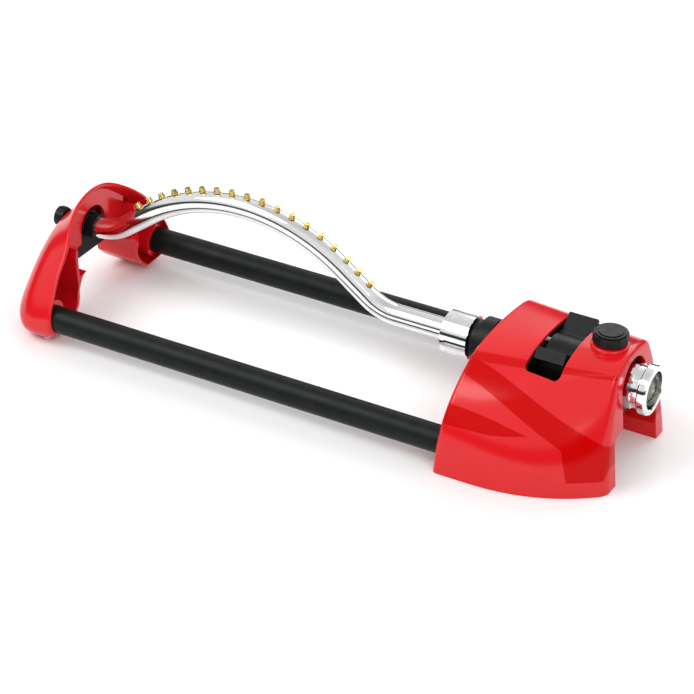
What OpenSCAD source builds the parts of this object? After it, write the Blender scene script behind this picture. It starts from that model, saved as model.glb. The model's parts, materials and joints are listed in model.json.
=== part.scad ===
// Oscillating lawn sprinkler: an arched spray bar that swings between a red
// foot and a red motor housing, joined by two round frame tubes.
// Lengths are millimetres.  The bar axis runs along X and the hose inlet is at +X.
// The modules place everything from the foot's rim (x = 0); seat() then moves the
// whole sprinkler so that the origin is the middle of its footprint.

/* [Frame] */
// Outside diameter of the two frame tubes
tube_od = 19; // [15:0.5:23]
// Wall of the frame tubes
tube_wall = 1.5; // [1:0.1:3]
// Distance between the centre lines of the frame tubes
tube_spacing = 134; // [124:1:162]
// Height of the tube centre lines above the ground
tube_z = 18; // [15:0.5:24]
// Length of tube that shows between the foot and the motor housing
tube_span = 294; // [245:1:355]

/* [Foot] */
// Half width of the foot at its widest
foot_half_w = 81; // [76:1:98]
// Height of the foot
foot_h = 89; // [84:1:110]
// Depth of the foot along the bar axis
foot_depth = 39; // [34:1:46]
// Wall of the foot shell
foot_wall = 3; // [2:0.1:4]
// Half width of the gap between the legs
foot_gap = 36; // [26:1:40]
// Height of the gap between the legs
foot_gap_h = 37; // [30:1:40]

/* [Spray bar] */
// Height of the bar axis above the ground
axis_z = 58; // [52:0.5:66]
// Outside diameter of the spray bar
bar_od = 15; // [12:0.5:18]
// Wall of the spray bar
bar_wall = 1.2; // [0.8:0.1:2]
// Centre line radius of the crown of the bar
crown_r = 128; // [115:1:150]
// Angle of the crown from its top to each end
crown_angle = 36.5; // [28:0.5:40]
// Length of the straight leg at each end of the crown
leg_len = 27; // [18:1:34]
// Centre line radius of the bends next to the axis
neck_r = 38; // [26:1:46]
// Distance from the foot's rim to the top of the crown
crown_x = 109.5; // [105:0.5:140]
// Number of nozzles
nozzle_count = 18; // [8:1:20]
// Distance between nozzles along the bar
nozzle_pitch = 11.3; // [9:0.1:12]
// Distance from the crown's top to the middle of the nozzle row
nozzle_shift = 7; // [0:0.5:10]
// Collar diameter of a nozzle
nozzle_od = 5; // [4:0.1:6]
// Height of a nozzle above the bar
nozzle_h = 3.6; // [2:0.1:5]

/* [Coupling nut and snout] */
// Length of the coupling nut
nut_len = 20; // [17:0.5:25]
// Outside radius of the coupling nut
nut_r = 15; // [13.5:0.5:17]
// Radius of the output shaft's journal
shaft_r = 8; // [7.5:0.1:8.8]
// Radius of the output shaft's bore
shaft_bore_r = 5.5; // [3:0.1:6]
// Radius of the snout next to the housing
snout_r = 17; // [15:0.5:18]

/* [Motor housing] */
// Length of the housing at its foot
cover_len = 111; // [108:1:122]
// Half width of the housing at the bar end
cover_half_w = 80; // [78:1:96]
// Half width of the housing at the inlet end
cover_end_half_w = 48; // [44:1:58]
// Height of the housing at the bar end
cover_h = 77; // [76:0.5:82]
// Height of the housing at the inlet end
cover_end_h = 84; // [82.5:0.5:92]
// Wall of the housing
cover_wall = 2.2; // [1.8:0.1:2.6]
// Width of the slot over the range band
slot_w = 25; // [24:0.5:28]

/* [Range tabs] */
// Outside radius of the range band
band_r = 19; // [18.6:0.1:19.4]
// Width of the range band
band_w = 20; // [16:0.5:22]
// Angle of each tab from straight up
tab_angle = 52; // [48:1:56]
// Height of the rear tab's paddle above the band
tab_h = 17; // [10:0.5:20]

/* [Water motor] */
// Tooth size of the gears (pitch diameter over teeth)
gear_m = 0.8; // [0.7:0.05:0.82]
// Teeth of the output gear
out_teeth = 28; // [26:1:28]
// Teeth of the wheels of the compound gears
wheel_teeth = 30; // [28:1:31]
// Teeth of the pinions
pinion_teeth = 12; // [12:1:13]
// Height of the turbine axis above the ground
turbine_z = 27; // [25:0.5:29]
// Radius of the turbine
turbine_r = 13; // [10:0.5:13.5]
// Number of turbine vanes
vane_count = 10; // [6:1:14]
// Half width of the motor case
case_half_w = 32; // [31:0.5:40]

/* [Flow knob] */
// Radius of the flow knob
knob_r = 11.5; // [9:0.5:13]
// Height of the flow knob
knob_h = 9; // [6:0.5:12]

/* [Hose inlet] */
// Bore radius of the hose thread in the swivel coupling
hose_r = 12.8; // [12.7:0.1:13.4]
// Outside radius of the swivel coupling's ring
coupling_r = 17.2; // [15.8:0.1:19]
// Length of the swivel coupling
coupling_len = 19.5; // [18:0.5:26]

/* [Fits] */
// Radial clearance of a turning fit
run_fit = 0.08; // [0.04:0.01:0.1]
// Clearance between a moving piece and what it passes
pass_gap = 0.6; // [0.4:0.1:1]
// Clearance round a fixed piece in its hole
slip_fit = 0.2; // [0.1:0.05:0.4]

/* [Hidden] */
$fn = 64;

red = "#e0242c";
satin_black = "#1f2423";
soft_black = "#26282a";
polished = "#c9ccd0";
chrome = "#d5d8dc";
brass = "#b5943f";
white_plastic = "#e6e4da";
steel = "#9a9ea3";
rubber = "#1a1a1a";
eps = 0.01;

// Places along the bar axis, from the foot's rim
tube_r = tube_od / 2;
bar_r = bar_od / 2;
foot_socket = 24;
bracket_x = -25;
bracket_t = 5;
cover_x = tube_span + 5;
cover_end_x = cover_x + cover_len;
crown_top = axis_z + crown_r * (1 - cos(crown_angle)) + leg_len * sin(crown_angle)
    + neck_r * (1 - cos(crown_angle));
bar_half = (crown_r + neck_r) * sin(crown_angle) + leg_len * cos(crown_angle);
cap_grip = 5;
bar_x0 = crown_x - bar_half - cap_grip - 0.5;
bar_seam = 0.04;
snout_x = cover_x - 9;
nut_x1 = snout_x - 2;
nut_x0 = nut_x1 - nut_len;
bar_x1 = nut_x0 + 8;
washer_t = 2;
shaft_x0 = bar_x1 + washer_t;
arm_x = cover_x + 6;
lid_x = arm_x + 5.5;
lid_t = 3;
gasket_t = 0.8;
case_x = lid_x + lid_t + gasket_t;
case_wall = 1.6;
case_len = 57;
case_end_x = case_x + case_len;
case_z = 4;
case_top_z = axis_z - 6;
gear_t = 5;
gear_gap = 0.8;
out_gear_x = case_x + 3;
wheel_a_x = out_gear_x + gear_t + gear_gap;
wheel_t = 4;
wheel_b_x = wheel_a_x + wheel_t + gear_gap;
plate_x = wheel_b_x + wheel_t + 1.2;
plate_t = 2.5;
turbine_x = plate_x + plate_t + 2.5;
turbine_w = 9;
jet_x = turbine_x + turbine_w + 2;
jet_t = 2.5;
shaft_x1 = out_gear_x + gear_t + 0.3;

// Gear centres: the first gear hangs under the shaft, the turbine below it
mesh_gap = 0.12;
gear_out_r = gear_m * out_teeth / 2;
gear_wheel_r = gear_m * wheel_teeth / 2;
gear_pinion_r = gear_m * pinion_teeth / 2;
first_z = axis_z - gear_out_r - gear_pinion_r - mesh_gap;
second_reach = gear_wheel_r + gear_pinion_r + mesh_gap;
second_z = (first_z + turbine_z) / 2;
second_y = sqrt(pow(second_reach, 2) - pow((first_z - turbine_z) / 2, 2));
case_top_r = gear_out_r + gear_m + 0.9 + case_wall;
axle_r = 1.25;

// Valve, knob and inlet
slot_x0 = cover_x + 43;
slot_mid = slot_x0 + slot_w / 2;
knob_x = cover_x + 86;
knob_seat_z = cover_h + (cover_end_h - cover_h) * 0.9 + 1.2;
plug_r = 6;
spindle_r = 3;
pipe_r = 10.5;
pipe_bore_r = 4.5;
flange_x = cover_end_x - 15;
coupling_x = flange_x + 4;
lip_t = 2.5;
collar_x = coupling_x + lip_t + run_fit;
collar_t = 2.2;
hose_washer_t = 2;
filter_x = collar_x + collar_t + hose_washer_t;
filter_h = 4;
thread_x0 = filter_x + filter_h + 0.3;
coupling_x1 = coupling_x + coupling_len;
coupling_back_r = 15.3;
flange_r = 18;

// Clean-out plug at the far left
plug_cap_x = -foot_depth - 7;
mid_x = (plug_cap_x + coupling_x1) / 2;

// ---- helpers ----
module seat() translate([-mid_x, 0, 0]) children();

// Cylinder along X from x0 to x1
module rod(r, x0, x1, y = 0, z = 0)
    translate([x0, y, z]) rotate([0, 90, 0]) cylinder(r = r, h = x1 - x0);

module ring(ro, ri, x0, x1, y = 0, z = 0)
    difference() {
        rod(ro, x0, x1, y, z);
        rod(ri, x0 - 1, x1 + 1, y, z);
    }

// Box from its lowest to its highest corner
module box(a, b) translate(a) cube([b[0] - a[0], b[1] - a[1], b[2] - a[2]]);

// Outline in the YZ plane, extruded along X from x0 to x1
module slab(x0, x1) translate([x0, 0, 0]) rotate([90, 0, 90]) linear_extrude(x1 - x0) children();

function polar(r, a) = [r * cos(a), r * sin(a)];
function mirrored(p) = concat(p, [for (i = [len(p) - 1:-1:0]) if (p[i][0] > eps) [-p[i][0], p[i][1]]]);

// Involute gear outline: teeth n, tooth size m, turned by phase
pressure = 25;
function inv(a) = tan(a) * 180 / PI - a;
function flank(r, rb, h) = h + inv(pressure) - inv(acos(min(1, rb / r)));
function tooth(n, m, k) =
    let (r = n * m / 2, rb = r * cos(pressure), ra = r + 0.8 * m, rr = r - 1.05 * m,
         h = 90 / n - 0.07 / r * 180 / PI, start = max(rb, rr) + 0.001,
         rows = [for (i = [0:3]) start + (ra - start) * i / 3], c = k * 360 / n)
    concat([polar(rr, c - flank(start, rb, h))],
           [for (q = rows) polar(q, c - flank(q, rb, h))],
           [for (i = [3:-1:0]) polar(rows[i], c + flank(rows[i], rb, h))],
           [polar(rr, c + flank(start, rb, h))]);
module gear_outline(n, phase)
    rotate(phase) polygon([for (k = [0:n - 1]) each tooth(n, gear_m, k)]);

// Turn that puts a gap of gear 2 against a tooth of gear 1, at direction dir from 1 to 2
function meshed(n1, phase1, n2, dir) = dir + 180 + (n1 * (dir - phase1) - 180) / n2;
first_phase = meshed(out_teeth, 0, pinion_teeth, -90);
second_dir = atan2(second_z - first_z, second_y);
second_phase = meshed(wheel_teeth, 0, pinion_teeth, second_dir);
turbine_dir = atan2(turbine_z - second_z, -second_y);
turbine_phase = meshed(wheel_teeth, 0, pinion_teeth, turbine_dir);

module toothed(n, phase, x0, x1, y, z) translate([0, y, z]) slab(x0, x1) gear_outline(n, phase);

// ---- foot ----
// Half outline of the foot: rounded lower corner, then a curve over the pointed arch
shoulder = [[1, 0.15], [0.93, 0.47], [0.44, 1], [0, 1]];
function bezier(c, t) = pow(1 - t, 3) * c[0] + 3 * pow(1 - t, 2) * t * c[1]
    + 3 * (1 - t) * t * t * c[2] + pow(t, 3) * c[3];
function foot_outline(w, h) = mirrored(concat(
    [[w - 11, 0], [w - 3, 5]],
    [for (i = [0:9]) let (q = bezier(shoulder, i / 9)) [w * q[0], h * q[1]]]));

// The foot's mass, shrunk by g all round.  The rim leans back towards its top
foot_lean = -14;
module foot_mass(g, x1) hull() translate([0, 0, g]) {
    station(x1, foot_lean, foot_h) polygon(foot_outline(foot_half_w - g, foot_h - 2 * g));
    station(-8 + g / 3, foot_lean * 0.6, foot_h)
        polygon(foot_outline(foot_half_w - g, foot_h - 1 - 2 * g));
    slab(-foot_depth * 0.62, -foot_depth * 0.6)
        polygon(foot_outline(foot_half_w - 2 - g, foot_h - 7 - 2 * g));
    slab(-foot_depth * 0.92 + g, -foot_depth * 0.9 + g)
        polygon(foot_outline(foot_half_w - 12 - g, foot_h - 19 - 2 * g));
    slab(-foot_depth + g, -foot_depth + g + 0.5)
        polygon(foot_outline(foot_half_w - 20 - g, foot_h - 24 - 2 * g));
}

// Gap between the legs, grown by g
function gap_outline(g) = mirrored([
    [foot_gap + 20 + g, -1], [foot_gap + 19 + g, 0], [foot_gap + g, 15],
    [foot_gap + g, foot_gap_h + g], [0, foot_gap_h + g]]);

// The bulkhead is open round the pivot and below the axis
bulkhead_x = bracket_x + bracket_t;
bulkhead_r = 15;
module left_foot() color(red) seat() difference() {
    union() {
        difference() {
            foot_mass(0, 0);
            foot_mass(foot_wall, 5);
        }
        // inner walls of the legs, the bulkhead behind the bar's end, and the tube
        // sockets with the web that carries them
        intersection() {
            foot_mass(0.2, -1);
            union() {
                for (s = [-1, 1]) {
                    rod(tube_r + 3.5, -foot_socket, -1, s * tube_spacing / 2, tube_z);
                    box([-foot_socket - 3, s * tube_spacing / 2 - tube_r, 1],
                        [-foot_socket, s * tube_spacing / 2 + tube_r, tube_z + 18]);
                }
                difference() {
                    slab(-foot_depth, -1) polygon(gap_outline(foot_wall));
                    box([-foot_depth - 1, -foot_half_w, foot_gap_h], [0, foot_half_w, foot_h]);
                }
                difference() {
                    box([bulkhead_x - foot_wall, -foot_half_w, foot_gap_h],
                        [bulkhead_x, foot_half_w, foot_h]);
                    rod(bulkhead_r, bulkhead_x - 10, bulkhead_x + 10, 0, axis_z);
                    box([bulkhead_x - 10, -foot_gap - eps, 0], [bulkhead_x + 10, foot_gap + eps, axis_z]);
                }
            }
        }
        // ledges that hold the pivot bracket
        for (s = [-1, 1])
            box([bracket_x - 6, s > 0 ? foot_gap : -foot_gap - foot_wall, foot_gap_h - 2],
                [bracket_x + bracket_t + 3, s > 0 ? foot_gap + foot_wall : -foot_gap,
                 foot_gap_h + 24]);
        // boss of the clean-out plug
        rod(8, -foot_depth + 1, -foot_depth + 9, 0, axis_z);
    }
    slab(-foot_depth - 5, 5) polygon(gap_outline(0));
    for (s = [-1, 1]) {
        rod(tube_r + eps, -foot_socket, 6, s * tube_spacing / 2, tube_z);
        translate([-foot_socket / 2, s * tube_spacing / 2, -2]) cylinder(r = 1.7, h = 12);
        translate([-foot_socket / 2, s * tube_spacing / 2, -2]) cylinder(r = 3.4, h = 5);
    }
    rod(stem_r + slip_fit, -foot_depth - 5, -foot_depth + 12, 0, axis_z);
}

// Black cross piece between the legs, with the hub of the bar's left pivot
hub_r = 10.5;
bush_r = 8;
journal_r = 5;
module pivot_bracket() color(soft_black) seat() difference() {
    union() {
        box([bracket_x, -foot_gap, foot_gap_h], [bracket_x + bracket_t, foot_gap, axis_z]);
        rod(hub_r, bracket_x - 3, bracket_x + bracket_t, 0, axis_z);
        for (s = [-1, 1])
            box([bracket_x - 3, s * 24 - 1.5, foot_gap_h + 2], [bracket_x + eps, s * 24 + 1.5, axis_z]);
    }
    rod(bush_r, bracket_x - 5, bracket_x + bracket_t + 5, 0, axis_z);
}

module pivot_bush() color(white_plastic) seat()
    ring(bush_r, journal_r + run_fit, bracket_x - 3, bracket_x + bracket_t, 0, axis_z);

// Clean-out plug: a cap on the foot's outer face with a needle for clearing nozzles
stem_r = 4;
pin_r = 0.7;
module cleanout_plug() color(soft_black) seat() difference() {
    union() {
        rod(7, plug_cap_x, -foot_depth - 0.3, 0, axis_z);
        rod(stem_r, -foot_depth - 0.4, -foot_depth + 8, 0, axis_z);
        for (a = [0:30:330])
            translate([plug_cap_x + 1, 0, axis_z]) rotate([a, 0, 0])
                translate([0, 6.7, -0.5]) cube([4.6, 0.8, 1]);
    }
    rod(pin_r, -foot_depth + 1, -foot_depth + 9, 0, axis_z);
}
module cleaning_pin() color(steel) seat()
    rod(pin_r, -foot_depth + 1, bracket_x - 5.5, 0, axis_z);

// ---- frame tubes ----
tube_x1 = cover_x + 24;
module frame_tube(y) difference() {
    rod(tube_r, -foot_socket, tube_x1, y, tube_z);
    rod(tube_r - tube_wall, -foot_socket - 1, tube_x1 + 1, y, tube_z);
    for (x = [-foot_socket / 2, cover_x + 15])
        translate([x, y, tube_z - tube_od]) cylinder(r = 1.5, h = tube_od);
}
module front_tube() color(satin_black) seat() frame_tube(-tube_spacing / 2);
module rear_tube() color(satin_black) seat() frame_tube(tube_spacing / 2);

module screw(x, y, z, r, len, head_r, head_h) translate([x, y, z]) {
    difference() {
        cylinder(r = head_r, h = head_h);
        for (a = [0, 90]) rotate(a)
            translate([-head_r * 0.6, -0.4, -1]) cube([head_r * 1.2, 0.8, 2]);
    }
    translate([0, 0, head_h - eps]) cylinder(r = r, h = len);
}
module tube_screws() color(steel) seat() for (s = [-1, 1]) {
    screw(-foot_socket / 2, s * tube_spacing / 2, 1, 1.5, tube_z - tube_r + 2, 3.2, 2);
    screw(cover_x + 15, s * tube_spacing / 2, plate_z0 + 0.2, 1.5, tube_z - tube_r, 3.2, 1.8);
}

// ---- spray bar ----
// Point and slope of the bar's centre line at length s from the crown's top
function along(s) =
    let (arc = crown_r * crown_angle * PI / 180, a = abs(s), sg = sign(s),
         over = max(0, a - arc), ang = min(a, arc) / crown_r * 180 / PI)
    [crown_x + sg * (crown_r * sin(ang) + over * cos(ang)),
     crown_top - crown_r * (1 - cos(ang)) - over * sin(ang), sg * ang];

// Tube of the bar's section, bent round an arc in the XZ plane
module bend(r, a0, sweep)
    rotate([90, 0, 0]) rotate(a0) rotate_extrude(angle = sweep)
        translate([r, 0]) difference() {
            circle(r = bar_r);
            circle(r = bar_r - bar_wall);
        }

// Straight tube along Z, and the sleeve inside the wall that joins two lengths of it
module pipe(ro, ri, z0, z1) translate([0, 0, z0]) difference() {
    cylinder(r = ro, h = z1 - z0);
    translate([0, 0, -1]) cylinder(r = ri, h = z1 - z0 + 2);
}
module sleeve(z) pipe(bar_r - bar_wall * 0.15, bar_r - bar_wall * 0.85, z - 1, z + 1);

// Straight leg and the bend into the axis, on side s of the crown
module bar_leg(s) mirror([s < 0 ? 1 : 0, 0, 0]) {
    translate([crown_r * sin(crown_angle), 0, crown_top - crown_r * (1 - cos(crown_angle))])
        rotate([0, 90 + crown_angle, 0]) {
            pipe(bar_r, bar_r - bar_wall, bar_seam, leg_len - bar_seam);
            sleeve(0);
            sleeve(leg_len);
        }
    translate([bar_half, 0, axis_z + neck_r]) bend(neck_r, 270 - crown_angle, crown_angle);
}

module spray_bar() color(polished) seat() difference() {
    union() {
        translate([crown_x, 0, 0]) {
            translate([0, 0, crown_top - crown_r]) bend(crown_r, 90 - crown_angle, 2 * crown_angle);
            bar_leg(1);
            bar_leg(-1);
        }
        translate([0, 0, axis_z]) rotate([0, 90, 0]) {
            pipe(bar_r, bar_r - bar_wall, bar_x0, crown_x - bar_half - bar_seam);
            sleeve(crown_x - bar_half);
            pipe(bar_r, bar_r - bar_wall, crown_x + bar_half + bar_seam, bar_x1 - 2);
            sleeve(crown_x + bar_half);
            pipe(bar_r + 2, bar_r - bar_wall, bar_x1 - 2, bar_x1);
        }
    }
    for (i = [0:nozzle_count - 1]) at_nozzle(i) translate([0, 0, bar_r - 3])
        cylinder(r = nozzle_stem_r, h = 6);
}

nozzle_stem_r = 1.6;
module at_nozzle(i) {
    q = along(nozzle_shift + (i - (nozzle_count - 1) / 2) * nozzle_pitch);
    translate([q[0], 0, q[1]]) rotate([0, q[2], 0]) children();
}
module nozzle() translate([0, 0, bar_r]) difference() {
    union() {
        translate([0, 0, -bar_wall - 1]) cylinder(r = nozzle_stem_r, h = bar_wall + 2);
        translate([0, 0, 0.3]) cylinder(r = nozzle_od / 2, h = 1.2);
        translate([0, 0, 1.4]) cylinder(r = nozzle_od / 2 - 0.5, h = nozzle_h - 1.4);
    }
    translate([0, 0, -bar_wall - 2]) cylinder(r = 0.6, h = nozzle_h + bar_wall + 4);
}
module nozzles() color(brass) seat() for (i = [0:nozzle_count - 1]) at_nozzle(i) nozzle();

module bar_end_cap() color(soft_black) seat() difference() {
    union() {
        rod(bar_r + 1.6, bar_x0 - 2.5, bar_x0 + cap_grip, 0, axis_z);
        rod(journal_r, bracket_x - 3, bar_x0, 0, axis_z);
    }
    rod(bar_r + eps, bar_x0, bar_x0 + cap_grip + 1, 0, axis_z);
}

module coupling_nut() color(chrome) seat() difference() {
    union() {
        rod(nut_r, nut_x0 + 1, nut_x1, 0, axis_z);
        rod(nut_r - 1.2, nut_x0, nut_x0 + 2, 0, axis_z);
    }
    rod(bar_r + slip_fit, nut_x0 - 1, nut_x1, 0, axis_z);
    rod(thread_r, bar_x1 - 2, nut_x1 + 1, 0, axis_z);
    for (a = [0:36:324]) translate([0, 0, axis_z]) rotate([a, 0, 0])
        translate([nut_x0 + 4, nut_r - 0.6, -1.2]) cube([nut_len, 2, 2.4]);
}
thread_r = bar_r + 2.5;
module bar_washer() color(rubber) seat()
    ring(thread_r - 0.4, shaft_bore_r, bar_x1, bar_x1 + washer_t, 0, axis_z);

module output_shaft() color(soft_black) seat() difference() {
    union() {
        rod(thread_r, shaft_x0, nut_x1 + 0.5, 0, axis_z);
        rod(shaft_r, nut_x1, shaft_x1, 0, axis_z);
    }
    rod(shaft_bore_r, shaft_x0 - 1, shaft_x1 + 1, 0, axis_z);
    ring(shaft_r + 1, shaft_r - 1.2, snout_x + 6, snout_x + 8, 0, axis_z);
}
module shaft_oring() color(rubber) seat()
    ring(shaft_r - 0.05, shaft_r - 1.2, snout_x + 6, snout_x + 8, 0, axis_z);

module output_gear() color(white_plastic) seat() difference() {
    toothed(out_teeth, 0, out_gear_x, out_gear_x + gear_t, 0, axis_z);
    rod(shaft_r, out_gear_x - 1, out_gear_x + gear_t + 1, 0, axis_z);
}

// Finger that reaches along the case to the range tabs
finger_r0 = case_top_r + pass_gap;
finger_r1 = finger_r0 + 1.3;
module trip_arm() color(white_plastic) seat() translate([0, 0, axis_z]) difference() {
    union() {
        rod(shaft_r + 2.4, arm_x, arm_x + 4.5);
        box([arm_x, -1.5, shaft_r + 1], [arm_x + 4.5, 1.5, finger_r1]);
        box([arm_x, -1.5, finger_r0], [slot_mid - band_w / 2 - 0.8, 1.5, finger_r1]);
    }
    rod(shaft_r, arm_x - 1, arm_x + 6);
}

// ---- snout ----
module snout() color(soft_black) seat() difference() {
    union() {
        rod(snout_r - 3.5, snout_x, snout_x + 5.5, 0, axis_z);
        rod(snout_r, snout_x + 5, arm_x - 1, 0, axis_z);
    }
    rod(shaft_r + run_fit, snout_x - 1, arm_x + 1, 0, axis_z);
}

// ---- housing cover ----
// Half outlines of the cover at the bar end, the middle and the inlet end
function cover_left(g) = mirrored([
    [cover_half_w - g, 0], [cover_half_w - g, 12], [cover_half_w - 3 - g, 33],
    [cover_half_w - 11 - g, cover_h - 29 - g / 2], [cover_half_w - 23 - g * 0.7, cover_h - 17 - g],
    [cover_half_w - 33 - g * 0.5, cover_h - 9 - g], [cover_half_w - 44, cover_h - 3 - g],
    [16, cover_h - g], [0, cover_h - g]]);
mid_h = (cover_h + cover_end_h) / 2 + 1;
mid_half_w = (cover_half_w + cover_end_half_w) / 2 + 10;
function cover_mid(g) = mirrored([
    [mid_half_w - g, 0], [mid_half_w - 2 - g, 14], [mid_half_w - 13 - g, mid_h - 34 - g / 2],
    [mid_half_w - 28 - g * 0.7, mid_h - 13 - g], [mid_half_w - 40, mid_h - 3 - g],
    [14, mid_h - g], [0, mid_h - g]]);
function cover_right(g) = mirrored([
    [cover_end_half_w - g, 0], [cover_end_half_w - 5 - g, 22], [cover_end_half_w - 13 - g, 48],
    [cover_end_half_w - 19 - g, cover_end_h - 15 - g / 2],
    [cover_end_half_w - 26 - g / 2, cover_end_h - 5 - g], [10, cover_end_h - g],
    [0, cover_end_h - g]]);

// A station whose outline leans from x0 at the ground to x0 + lean at height h
module station(x0, lean, h) multmatrix([[1, 0, lean / h, x0], [0, 1, 0, 0], [0, 0, 1, 0]])
    slab(0, 0.2) children();

module cover_mass(g) hull() {
    station(cover_x + g, 6, cover_h) polygon(cover_left(g));
    station(cover_x + 70, 0, mid_h) polygon(cover_mid(g));
    station(cover_end_x - g - 0.2, -8, cover_end_h) polygon(cover_right(g));
}

post_at = [[cover_x + 16, 44], [cover_x + 70, 44]];
leg_gap = 33;
leg_gap_h = 35;
module motor_cover() color(red) seat() difference() {
    union() {
        difference() {
            cover_mass(0);
            translate([0, 0, -eps]) cover_mass(cover_wall);
        }
        intersection() {
            cover_mass(0.3);
            for (p = post_at) for (s = [-1, 1])
                translate([p[0], s * p[1], plate_z1]) cylinder(r = 4, h = 80);
        }
        // raised seat under the flow knob
        translate([knob_x, 0, knob_seat_z - 4]) cylinder(r = knob_r + 1, h = 4);
    }
    // bar end: snout and frame tubes
    rod(snout_r + slip_fit, cover_x - 5, cover_x + 12, 0, axis_z);
    for (s = [-1, 1]) rod(tube_r + slip_fit, cover_x - 5, tube_x1 + 1, s * tube_spacing / 2, tube_z);
    // inlet end: arched opening, and the gap between the rear legs
    rod(coupling_back_r + 1, flange_x + 3.2, cover_end_x + 5, 0, axis_z);
    box([flange_x + 3.2, -coupling_back_r - 1, leg_gap_h - 5], [cover_end_x + 5, coupling_back_r + 1, axis_z]);
    box([cover_end_x - 29, -leg_gap, -1], [cover_end_x + 5, leg_gap, leg_gap_h]);
    // slot over the range band
    translate([0, 0, axis_z]) intersection() {
        rod(60, slot_x0, slot_x0 + slot_w);
        slab(slot_x0 - 1, slot_x0 + slot_w + 1)
            polygon([[0, 0], polar(90, 90 - slot_half), [0, 90], polar(90, 90 + slot_half)]);
    }
    // spindle and screw holes
    translate([knob_x, 0, knob_seat_z - 12]) cylinder(r = spindle_r + 1.2, h = 20);
    for (p = post_at) for (s = [-1, 1])
        translate([p[0], s * p[1], plate_z1 - 1]) cylinder(r = 1.4, h = 14);
    // room for the top of the motor case and band
    rod(finger_r1 + pass_gap, arm_x - 0.8, slot_mid, 0, axis_z);
    rod(band_r + 2.6, slot_x0 - 1.5, slot_x0 + slot_w + 1.5, 0, axis_z);
}
slot_half = 66;

// ---- base plate ----
plate_z0 = 0.8;
plate_z1 = case_z;
module base_plate() color(soft_black) seat() difference() {
    union() {
        translate([0, 0, plate_z0]) linear_extrude(plate_z1 - plate_z0) polygon([
            [cover_x + cover_wall + 1, -cover_half_w + cover_wall + 1],
            [cover_x + 68, -mid_half_w + cover_wall + 3], [cover_end_x - 32, -cover_end_half_w - 6],
            [cover_end_x - 32, cover_end_half_w + 6], [cover_x + 68, mid_half_w - cover_wall - 3],
            [cover_x + cover_wall + 1, cover_half_w - cover_wall - 1]]);
        for (s = [-1, 1])
            box([cover_x + 8, s * tube_spacing / 2 - 7, plate_z1 - eps],
                [cover_x + 22, s * tube_spacing / 2 + 7, tube_z]);
    }
    for (s = [-1, 1]) {
        rod(tube_r, cover_x, cover_x + 40, s * tube_spacing / 2, tube_z);
        translate([cover_x + 15, s * tube_spacing / 2, -1]) cylinder(r = 1.5, h = 20);
        translate([cover_x + 15, s * tube_spacing / 2, -1]) cylinder(r = 3.3, h = plate_z0 + 3.1);
    }
    for (p = post_at) for (s = [-1, 1]) {
        translate([p[0], s * p[1], -1]) cylinder(r = 1.6, h = 10);
        translate([p[0], s * p[1], -1]) cylinder(r = 3.3, h = plate_z0 + 2.9);
    }
}
module base_screws() color(steel) seat() for (p = post_at) for (s = [-1, 1])
    screw(p[0], s * p[1], plate_z0 + 0.2, 1.4, 10, 3.1, 1.6);

// ---- motor case ----
module case_outline(g) {
    translate([-case_half_w + g, case_z + g]) square([2 * case_half_w - 2 * g, case_top_z - case_z - 2 * g]);
    translate([0, axis_z]) circle(r = case_top_r - g);
    translate([-case_top_r + g, axis_z - 12]) square([2 * case_top_r - 2 * g, 12]);
}
module motor_case() color(soft_black) seat() difference() {
    slab(case_x, case_end_x) case_outline(0);
    slab(case_x - 1, case_end_x - 3) case_outline(case_wall + 0.4);
    rod(pipe_bore_r, case_end_x - 5, case_end_x + 1, 0, axis_z);
    rod(axle_r, case_end_x - 4, case_end_x - 1.5, 0, turbine_z);
    for (c = lid_screw_at) rod(1.1, case_x - 1, case_x + 2, c[0], c[1]);
}
lid_screw_at = [for (s = [-1, 1]) for (z = [case_z + 3, case_top_z - 3]) [s * (case_half_w + 3), z]];
module lid_outline() {
    case_outline(0);
    for (c = lid_screw_at) translate(c) circle(r = 3);
    for (s = [-1, 1]) for (z = [case_z + 3, case_top_z - 3])
        translate([s > 0 ? case_half_w - 1 : -case_half_w - 3, z - 3]) square([4, 6]);
}
module case_lid() color(soft_black) seat() difference() {
    slab(lid_x, lid_x + lid_t) lid_outline();
    rod(shaft_r + run_fit, lid_x - 1, lid_x + lid_t + 1, 0, axis_z);
    rod(axle_r, lid_x + 1.5, lid_x + lid_t + 1, 0, first_z);
    rod(axle_r, lid_x + 1.5, lid_x + lid_t + 1, second_y, second_z);
    for (c = lid_screw_at) rod(1.3, lid_x - 1, lid_x + lid_t + 1, c[0], c[1]);
}
module case_gasket() color(rubber) seat() difference() {
    slab(lid_x + lid_t, case_x) difference() {
        lid_outline();
        case_outline(case_wall + 0.4);
        for (c = lid_screw_at) translate(c) circle(r = 1.4);
    }
}
module case_screws() color(steel) seat() for (c = lid_screw_at) {
    rod(2.6, lid_x - 1.6, lid_x, c[0], c[1]);
    rod(1.25, lid_x - eps, case_x + 4, c[0], c[1]);
}

// Plate between the gears and the turbine, which holds the ends of the axles
module gear_plate() color(white_plastic) seat() difference() {
    slab(plate_x, plate_x + plate_t) case_outline(case_wall + 0.7);
    rod(axle_r, plate_x - 1, plate_x + plate_t + 1, 0, first_z);
    rod(axle_r, plate_x - 1, plate_x + plate_t + 1, second_y, second_z);
    rod(gear_pinion_r + gear_m + pass_gap, plate_x - 1, plate_x + plate_t + 1, 0, turbine_z);
    rod(flap_r + run_fit, plate_x - 1, plate_x + plate_t + 1, 0, flap_z);
    // water ports
    for (s = [-1, 1]) rod(4, plate_x - 1, plate_x + plate_t + 1, s * 21, case_z + 10);
}

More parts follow.
